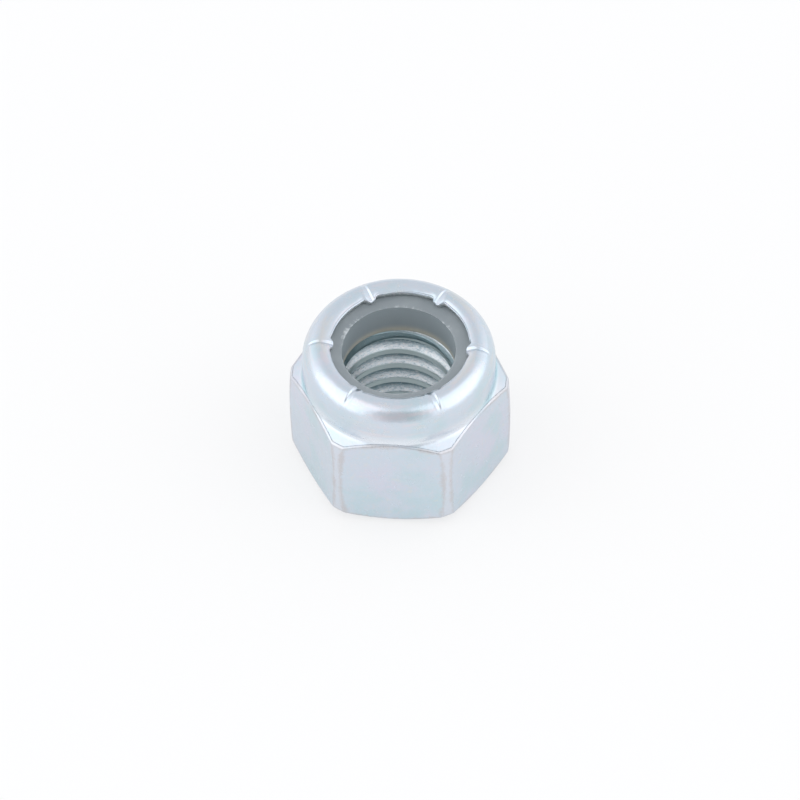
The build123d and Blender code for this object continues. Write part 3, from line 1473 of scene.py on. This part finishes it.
@dataclass(frozen=True)
class ZincPlate:
    """Clear-passivated zinc plating on cold-formed steel, with painted shade in the bore and painted
    light on the flanks, the collar's foot and the lip's cut face.
    """

    cloud: Pattern = Pattern(0.22, 1.0, roughness=0.55)
    mist: Pattern = Pattern(0.35, 8.0)
    fleck: Pattern = Pattern(1.3, 5.0, 4.0, 0.65)
    mottle: Pattern = Pattern(4.0, 13.0, roughness=0.7)
    beside_foot: Pattern = Pattern(0.25, 21.0, 2.0, 0.5)
    lavender: Wash = Wash(Tone.LAVENDER, 0.50, 0.66, 0.6)
    teal: Wash = Wash(Tone.TEAL, 0.48, 0.64, 0.85)
    straw: Wash = Wash(Tone.STRAW, 0.58, 0.72, 0.5)
    pink: Wash = Wash(Tone.PINK, 0.54, 0.72, 0.4)
    sky: Wash = Wash(Tone.SKY, 0.48, 0.30, 0.5)

    collar_start: tuple = (7.6, 8.6)
    haze: Streaks = Streaks(2.2, 2.4, roughness=0.6)
    veil: Streaks = Streaks(1.5, 1.1, roughness=0.6)
    collar_pink: Wash = Wash(Tone.PINK, 0.54, 0.66, 0.45)
    collar_sky: Wash = Wash(Tone.SKY, 0.46, 0.34, 0.45)
    collar_straw: Wash = Wash(Tone.STRAW, 0.55, 0.68, 0.45)
    foot_teal: Wash = Wash(Tone.FOOT_TEAL, 0.05, 0.5, 0.65)

    ragged: Pattern = Pattern(5.5, 2.0, 4.0, 0.75)
    patchy: Pattern = Pattern(0.8, 3.0, 2.0, 0.5)
    speck: Pattern = Pattern(9.0, 17.0, roughness=0.75)
    worn: Wash = Wash(Tone.WORN, 0.45, 1.05, 0.75)
    dark: Wash = Wash(Tone.SPECK, 1.02, 1.22, 0.7)
    rim: Wash = Wash(Tone.RIM, 0.70, 0.95, 0.6)

    streak: Streaks = Streaks(9.0, 6.0)
    glint: Streaks = Streaks(18.0, 13.0)
    # dark streaks and specks in the roots' shade colour: partly the tap's marks, partly painted shade
    # on the flanks
    dark_streaks_and_shade: Wash = Wash(Tone.ROOT, 0.48, 0.34, 0.45)
    streak_pink: Wash = Wash(Tone.PINK, 0.56, 0.70, 0.4)
    dark_specks_and_shade: Wash = Wash(Tone.ROOT, 0.46, 0.36, 0.5)
    glint_pale: Wash = Wash(Tone.GLINT, 0.53, 0.60, 1.0)
    # painted shade on the groove's last turn below the seat
    last_turn_shade: Wash = Wash(Tone.SHADE, 0.36, 0.26, 0.85)
    last_turn_start: tuple = (7.55, 7.65)
    mouth_glint: Wash = Wash(Tone.GLINT, 0.60, 0.66, 0.8)

    flake: Pattern = Pattern(5.0, 6.0, 4.0, 0.7)
    cut_glint: Wash = Wash(Tone.GLINT, 0.49, 0.56, 0.95)
    grain: Pattern = Pattern(7.0, 7.0, roughness=0.7)
    swell: Pattern = Pattern(0.55, 9.0, 2.0, 0.5)
    roughness: float = 0.30
    anisotropy: float = 0.25
    foot_light_share: float = 0.7  # how much of each colour shows where its mark is 1
    band_share: float = 0.6
    crest_shade_share: float = 0.95
    root_shade_share: float = 0.9
    mouth_shade_share: float = 0.9
    cut_face_light_share: float = 0.85
    flank_depths: tuple = (0.02, 0.10)  # shares of the thread's depth over which the flank starts
    root_shade_depths: tuple = (0.32, 0.80)
    swell_height: float = 0.05  # millimetres
    grain_height: float = 0.006
    flake_height: float = 0.12
    streak_height: float = 0.06

    def plating(self, made: Surface) -> bpy.types.NodeSocket:
        """The faint colours of the passivated plating, with painted light at the collar's foot.

        Args:
            made: The material to work in.

        Returns:
            The colour.
        """
        x, y, z = made.place()
        radius = (x * x + y * y).math("SQRT")
        mottle = made.noise(self.mottle)
        colour = made.wash(made.noise(self.cloud), Tone.ZINC, self.lavender)
        colour = made.wash(made.noise(self.mist), colour, self.teal)
        colour = made.wash(made.noise(self.fleck), colour, self.straw)
        colour = made.wash(mottle, colour, self.pink)
        colour = made.wash(mottle, colour, self.sky)
        # on the collar the colours follow the turn
        upper = z.ramp(*self.collar_start)
        haze, veil = made.turned(self.haze), made.turned(self.veil)
        colour = made.wash(haze, colour, self.collar_pink, upper)
        colour = made.wash(haze, colour, self.collar_sky, upper)
        colour = made.wash(veil, colour, self.collar_straw, upper)
        foot = made.mark(Mark.FOOT)
        # painted light: the collar's foot is paled over the dark reflection it shows there
        colour = made.tint(foot * self.foot_light_share, colour, Tone.FOOT_PAINTED_LIGHT)
        beside = (abs(x) / radius).ramp(0.80, 0.97) * made.noise(self.beside_foot).ramp(0.30, 0.48)
        return made.wash(foot, colour, self.foot_teal, beside)

    def wear(self, made: Surface, colour: bpy.types.NodeSocket) -> bpy.types.NodeSocket:
        """Lay the rubbed edges and the dark specks beside them over the plating.

        Args:
            made: The material to work in.
            colour: The colour so far.

        Returns:
            The colour.
        """
        ragged, patchy, speck = (
            made.noise(pattern) - 0.5 for pattern in (self.ragged, self.patchy, self.speck)
        )
        edge, brow = made.mark(Mark.EDGE), made.mark(Mark.BROW)
        colour = made.tint(made.mark(Mark.BAND) * self.band_share, colour, Tone.BAND)
        colour = made.wash(edge + ragged * 1.5 + patchy * 1.5, colour, self.worn)
        colour = made.wash(brow + speck * 2.2 + patchy * 1.4, colour, self.dark)
        return made.wash(made.mark(Mark.RIM) + speck * 1.2, colour, self.rim)

    def threading(
        self, made: Surface, colour: bpy.types.NodeSocket, streak: Formula, glint: Formula
    ) -> bpy.types.NodeSocket:
        """Colour the tapped bore, whose crests are plain and flanks streaky, with painted shade in the
        roots, over the crests, on the countersinks and on the groove's last turn.

        Args:
            made: The material to work in.
            colour: The colour so far.
            streak: Broad streaks that the tap left.
            glint: Fine streaks that the tap left.

        Returns:
            The colour.
        """
        bore, groove, mouth = (made.mark(m) for m in (Mark.BORE, Mark.GROOVE, Mark.MOUTH))
        flank = bore * groove.ramp(*self.flank_depths)
        # painted shade on the bore: the crest colour stands in for the dim reflection of the shaded
        # floor under the nut
        colour = made.tint(bore * self.crest_shade_share, colour, Tone.CREST_SHADE)
        # the flank colour is partly the cut steel, partly painted light that brightens the dim bore
        colour = made.tint(flank, colour, Tone.FLANK_STEEL_AND_PAINTED_LIGHT)
        # dark streaks and specks in the roots' shade colour: partly the tap's marks, partly painted
        # shade on the flanks
        colour = made.wash(streak, colour, self.dark_streaks_and_shade, flank)
        colour = made.wash(streak, colour, self.streak_pink, flank)
        colour = made.wash(glint, colour, self.dark_specks_and_shade, flank)
        # painted shade, deepening towards the roots of the thread
        deep = (groove + (streak - 0.5) * 0.6 + (glint - 0.5) * 0.5).ramp(*self.root_shade_depths)
        colour = made.tint(deep * bore * self.root_shade_share, colour, Tone.ROOT)
        colour = made.wash(glint, colour, self.glint_pale, flank * (1.0 - deep * 0.5))
        # painted shade on the groove's last turn below the seat
        upper = made.place()[2].ramp(*self.last_turn_start)
        colour = made.wash(groove, colour, self.last_turn_shade, bore * upper)
        # painted shade: the countersinks are darkened to teal, as in the shade under the nylon
        colour = made.tint(mouth * self.mouth_shade_share, colour, Tone.MOUTH)
        return made.wash(glint, colour, self.mouth_glint, mouth)

    def relief(
        self, made: Surface, grain: Formula, flake: Formula, streaks: Formula
    ) -> bpy.types.NodeSocket:
        """Bump the surface: a slight swell, a fine grain, the torn cut and the tap's streaks.

        Args:
            made: The material to work in.
            grain: The plating's grain.
            flake: The cut edge's flakes, 0 elsewhere.
            streaks: The tap's streaks, 0 off the flanks.

        Returns:
            The normal.
        """
        normal = made.bump(made.noise(self.swell), self.swell_height)
        normal = made.bump(grain, self.grain_height, after=normal)
        normal = made.bump(flake, self.flake_height, after=normal)
        return made.bump(streaks, self.streak_height, after=normal)

    def material(self) -> bpy.types.Material:
        """Build the plating's material.

        Returns:
            The material.
        """
        made = Surface("zinc_plate")
        bore, groove, cut = (made.mark(m) for m in (Mark.BORE, Mark.GROOVE, Mark.CUT))
        streak, glint = made.turned(self.streak), made.turned(self.glint)
        flake, grain = made.noise(self.flake), made.noise(self.grain)
        colour = self.threading(made, self.wear(made, self.plating(made)), streak, glint)
        # the cut face's greenish grey, lightened as painted light against the deep shade it lies in
        colour = made.tint(cut * self.cut_face_light_share, colour, Tone.CUT_FACE_GREY_AND_LIGHT)
        colour = made.wash(flake, colour, self.cut_glint, cut)
        made.tree.links.new(colour, made.shader.inputs["Base Color"])
        made.shader.inputs["Metallic"].default_value = 1.0
        fleck = made.noise(self.fleck)
        own = bore * 0.02 + cut * 0.15 - made.place()[2].ramp(8.2, 9.0) * 0.05
        roughness = self.roughness + (fleck - 0.5) * 0.16 + (grain - 0.5) * 0.10 + own
        roughness.feed(made.shader.inputs["Roughness"])
        streaks = (glint * 0.6 + streak * 0.4) * bore * groove.ramp(0.02, 0.12)
        normal = self.relief(made, grain, flake * cut, streaks)
        made.tree.links.new(normal, made.shader.inputs["Normal"])
        made.shader.inputs["Anisotropic"].default_value = self.anisotropy
        around = made.tree.nodes.new("ShaderNodeTangent")
        around.direction_type, around.axis = "RADIAL", "Z"
        made.tree.links.new(around.outputs["Tangent"], made.shader.inputs["Tangent"])
        # a quarter turn in the bore, where the streaks run round the axis
        (bore * 0.25).feed(made.shader.inputs["Anisotropic Rotation"])
        return made.material


@dataclass(frozen=True)
class GreyNylon:
    """Grey nylon, slightly translucent, with painted light on its bore wall."""

    cloud: Pattern = Pattern(0.4, 1.0, roughness=0.55)
    ragged: Pattern = Pattern(8.0, 2.0, 4.0, 0.75)
    grain: Pattern = Pattern(9.0, 3.0)
    swell: Pattern = Pattern(0.8, 4.0, 2.0, 0.5)
    milky: Wash = Wash(Tone.NYLON_PALE, 0.45, 0.75, 0.12)
    torn: Wash = Wash(Tone.NYLON_PALE, 0.42, 0.80, 0.8)
    wall_radii: tuple = (4.20, 4.12)
    wall_heights: tuple = (10.72, 10.60)
    tan_share: float = 0.85
    roughness: float = 0.38
    translucency: float = 0.5
    scatter: float = 0.8  # millimetres
    swell_height: float = 0.03
    grain_height: float = 0.004

    def material(self) -> bpy.types.Material:
        """Build the nylon's material.

        Returns:
            The material.
        """
        made = Surface("grey_nylon")
        ragged, grain = made.noise(self.ragged) - 0.5, made.noise(self.grain)
        x, y, z = made.place()
        radius = (x * x + y * y).math("SQRT")
        wall = radius.ramp(*self.wall_radii) * z.ramp(*self.wall_heights)
        colour = made.wash(made.noise(self.cloud), Tone.NYLON, self.milky)
        # painted light: the bore wall below the rim is lightened in place of light that passes through
        # and bounces inside the nylon
        colour = made.tint(wall, colour, Tone.NYLON_WALL_LIGHT)
        colour = made.wash(made.mark(Mark.FLASH) + ragged * 1.6, colour, self.torn)
        colour = made.tint(made.mark(Mark.DEEP) * self.tan_share, colour, Tone.NYLON_TAN)
        made.tree.links.new(colour, made.shader.inputs["Base Color"])
        made.shader.inputs["Subsurface Weight"].default_value = self.translucency
        made.shader.inputs["Subsurface Radius"].default_value = (1.0, 1.0, 1.0)
        made.shader.inputs["Subsurface Scale"].default_value = self.scatter * MM
        (self.roughness + (grain - 0.5) * 0.12).feed(made.shader.inputs["Roughness"])
        normal = made.bump(made.noise(self.swell), self.swell_height)
        normal = made.bump(grain, self.grain_height, after=normal)
        made.tree.links.new(normal, made.shader.inputs["Normal"])
        return made.material


# ---------------------------------------------------------------------------------------
# Studio
# ---------------------------------------------------------------------------------------


@dataclass
class Studio:
    """Floor, lights, backdrop and camera.

    The camera looks straight at the nut from far off. Where the nut's origin shows in the picture
    is given in pixels, and the two soft boxes hang as far to the left as to the right.
    """

    picture: int = 800
    pixels_per_mm: float = 13.764
    distance: float = 600.0
    azimuth: float = -84.36
    elevation: float = 49.45
    roll: float = 1.33
    origin_across: float = 400.9
    origin_down: float = 447.3
    sensor: float = 36.0
    lamp_distance: float = 500.0
    lamp_size: float = 620.0
    lamp_turn: float = 71.0  # round the nut, to either side of the camera
    lamp_elevation: float = 40.0
    left_level: float = 0.40
    right_level: float = 0.37
    room_colour: tuple = (0.965, 0.975, 1.0)
    room_level: float = 0.88
    side_gain: float = 0.50  # how much brighter the room is straight to the left and right
    dim_level: float = 0.65
    dim_elevation: float = 27.0
    dim_reach: float = 36.0  # from the middle of the dim patch to its rim, in degrees
    dim_core: float = 12.6  # and to where it starts to fade
    floor_half: float = 3000.0
    floor_grey: float = 0.88
    floor_white: float = 0.65  # share of plain white that the camera sees in the floor
    floor_mirrored: float = 0.4  # and that a reflection sees

    def camera(self) -> bpy.types.Object:
        """Place the camera.

        Returns:
            The camera.
        """
        azimuth, elevation = math.radians(self.azimuth), math.radians(self.elevation)
        level = Vector((math.cos(azimuth), math.sin(azimuth), 0))
        back = level * math.cos(elevation) + Vector((0, 0, math.sin(elevation)))
        right = Vector((-math.sin(azimuth), math.cos(azimuth), 0))
        up = back.cross(right)
        turn = math.radians(self.roll)
        across = right * math.cos(turn) - up * math.sin(turn)
        upright = right * math.sin(turn) + up * math.cos(turn)
        middle = self.picture / 2
        place = (
            back * self.distance
            - across * ((self.origin_across - middle) / self.pixels_per_mm)
            + upright * ((self.origin_down - middle) / self.pixels_per_mm)
        )
        data = bpy.data.cameras.new("camera")
        data.sensor_width = self.sensor
        data.lens = self.pixels_per_mm * self.distance / self.picture * self.sensor
        data.clip_start, data.clip_end = 0.01, 20.0
        camera = bpy.data.objects.new("camera", data)
        camera.matrix_world = Matrix.Translation(place * MM) @ Matrix(
            [[across[i], upright[i], back[i]] for i in range(3)]
        ).to_4x4()
        bpy.context.scene.collection.objects.link(camera)
        bpy.context.scene.camera = camera
        return camera

    def lamp(self, name: str, turn: float, level: float) -> None:
        """Hang one square soft box that faces the nut.

        Args:
            name: The lamp's name.
            turn: How far to the right of the camera it hangs, in degrees round the nut.
            level: Its brightness, where 1 shows as white.
        """
        data = bpy.data.lights.new(name, "AREA")
        data.shape = "SQUARE"
        data.size = self.lamp_size * MM
        data.energy = level * math.pi * data.size**2
        lamp = bpy.data.objects.new(name, data)
        a, e = math.radians(self.azimuth + turn), math.radians(self.lamp_elevation)
        towards = Vector((math.cos(a) * math.cos(e), math.sin(a) * math.cos(e), math.sin(e)))
        lamp.location = towards * self.lamp_distance * MM
        lamp.rotation_euler = towards.to_track_quat("Z", "Y").to_euler()
        bpy.context.scene.collection.objects.link(lamp)

    def backdrop(self) -> None:
        """Surround the nut with a pale room, darker low down behind the camera."""
        world = bpy.data.worlds.new("studio")
        bpy.context.scene.world = world
        world.use_nodes = True
        tree = world.node_tree
        background = tree.nodes["Background"]
        ways = tree.nodes.new("ShaderNodeTexCoord")
        compare = tree.nodes.new("ShaderNodeVectorMath")
        compare.operation = "DOT_PRODUCT"
        tree.links.new(ways.outputs["Generated"], compare.inputs[0])
        a, e = math.radians(self.azimuth), math.radians(self.dim_elevation)
        compare.inputs[1].default_value = (
            math.cos(a) * math.cos(e), math.sin(a) * math.cos(e), math.sin(e)
        )
        dim = Formula(tree, compare.outputs["Value"]).ramp(
            math.cos(math.radians(self.dim_reach)), math.cos(math.radians(self.dim_core))
        )
        across = tree.nodes.new("ShaderNodeVectorMath")
        across.operation = "DOT_PRODUCT"
        tree.links.new(ways.outputs["Generated"], across.inputs[0])
        across.inputs[1].default_value = (-math.sin(a), math.cos(a), 0)
        side = Formula(tree, across.outputs["Value"])
        level = self.room_level - dim * (self.room_level - self.dim_level)
        level = level + side * side * self.side_gain
        background.inputs["Color"].default_value = (*self.room_colour, 1)
        level.feed(background.inputs["Strength"])

    def floor(self) -> None:
        """Lay a plain pale floor, which shows a little whiter than the lamps make it."""
        half = self.floor_half * MM
        mesh = bpy.data.meshes.new("floor")
        corners = [(-half, -half, 0), (half, -half, 0), (half, half, 0), (-half, half, 0)]
        mesh.from_pydata(corners, [], [(0, 1, 2, 3)])
        floor = bpy.data.objects.new("floor", mesh)
        material = bpy.data.materials.new("floor_paper")
        material.use_nodes = True
        shader = material.node_tree.nodes["Principled BSDF"]
        shader.inputs["Base Color"].default_value = (*[self.floor_grey] * 3, 1)
        shader.inputs["Roughness"].default_value = 0.95
        shader.inputs["Specular IOR Level"].default_value = 0.0
        tree = material.node_tree
        ray = tree.nodes.new("ShaderNodeLightPath")
        seen = Formula(tree, ray.outputs["Is Glossy Ray"])
        seen = seen.largest(Formula(tree, ray.outputs["Is Transmission Ray"])) * self.floor_mirrored
        seen = seen.largest(Formula(tree, ray.outputs["Is Camera Ray"]) * self.floor_white)
        white = tree.nodes.new("ShaderNodeEmission")
        mix = tree.nodes.new("ShaderNodeMixShader")
        seen.feed(mix.inputs["Fac"])
        tree.links.new(shader.outputs["BSDF"], mix.inputs[1])
        tree.links.new(white.outputs["Emission"], mix.inputs[2])
        tree.links.new(mix.outputs["Shader"], tree.nodes["Material Output"].inputs["Surface"])
        mesh.materials.append(material)
        bpy.context.scene.collection.objects.link(floor)

    def build(self) -> None:
        """Set up the whole studio."""
        self.camera()
        self.lamp("soft_box_left", -self.lamp_turn, self.left_level)
        self.lamp("soft_box_right", self.lamp_turn, self.right_level)
        self.backdrop()
        self.floor()
        bpy.context.scene.view_settings.view_transform = "Standard"


def main() -> None:
    """Build every piece, dress it and report it."""
    logging.basicConfig(level=logging.INFO, format="%(name)s: %(message)s")
    steel = SteelBody().build(ZincPlate().material())
    log.info("%s: %d faces", steel.name, len(steel.data.polygons))
    ring = NylonRing().build(GreyNylon().material())
    log.info("%s: %d faces", ring.name, len(ring.data.polygons))
    Studio().build()
    log.info("studio ready")


if __name__ == "__main__":
    main()
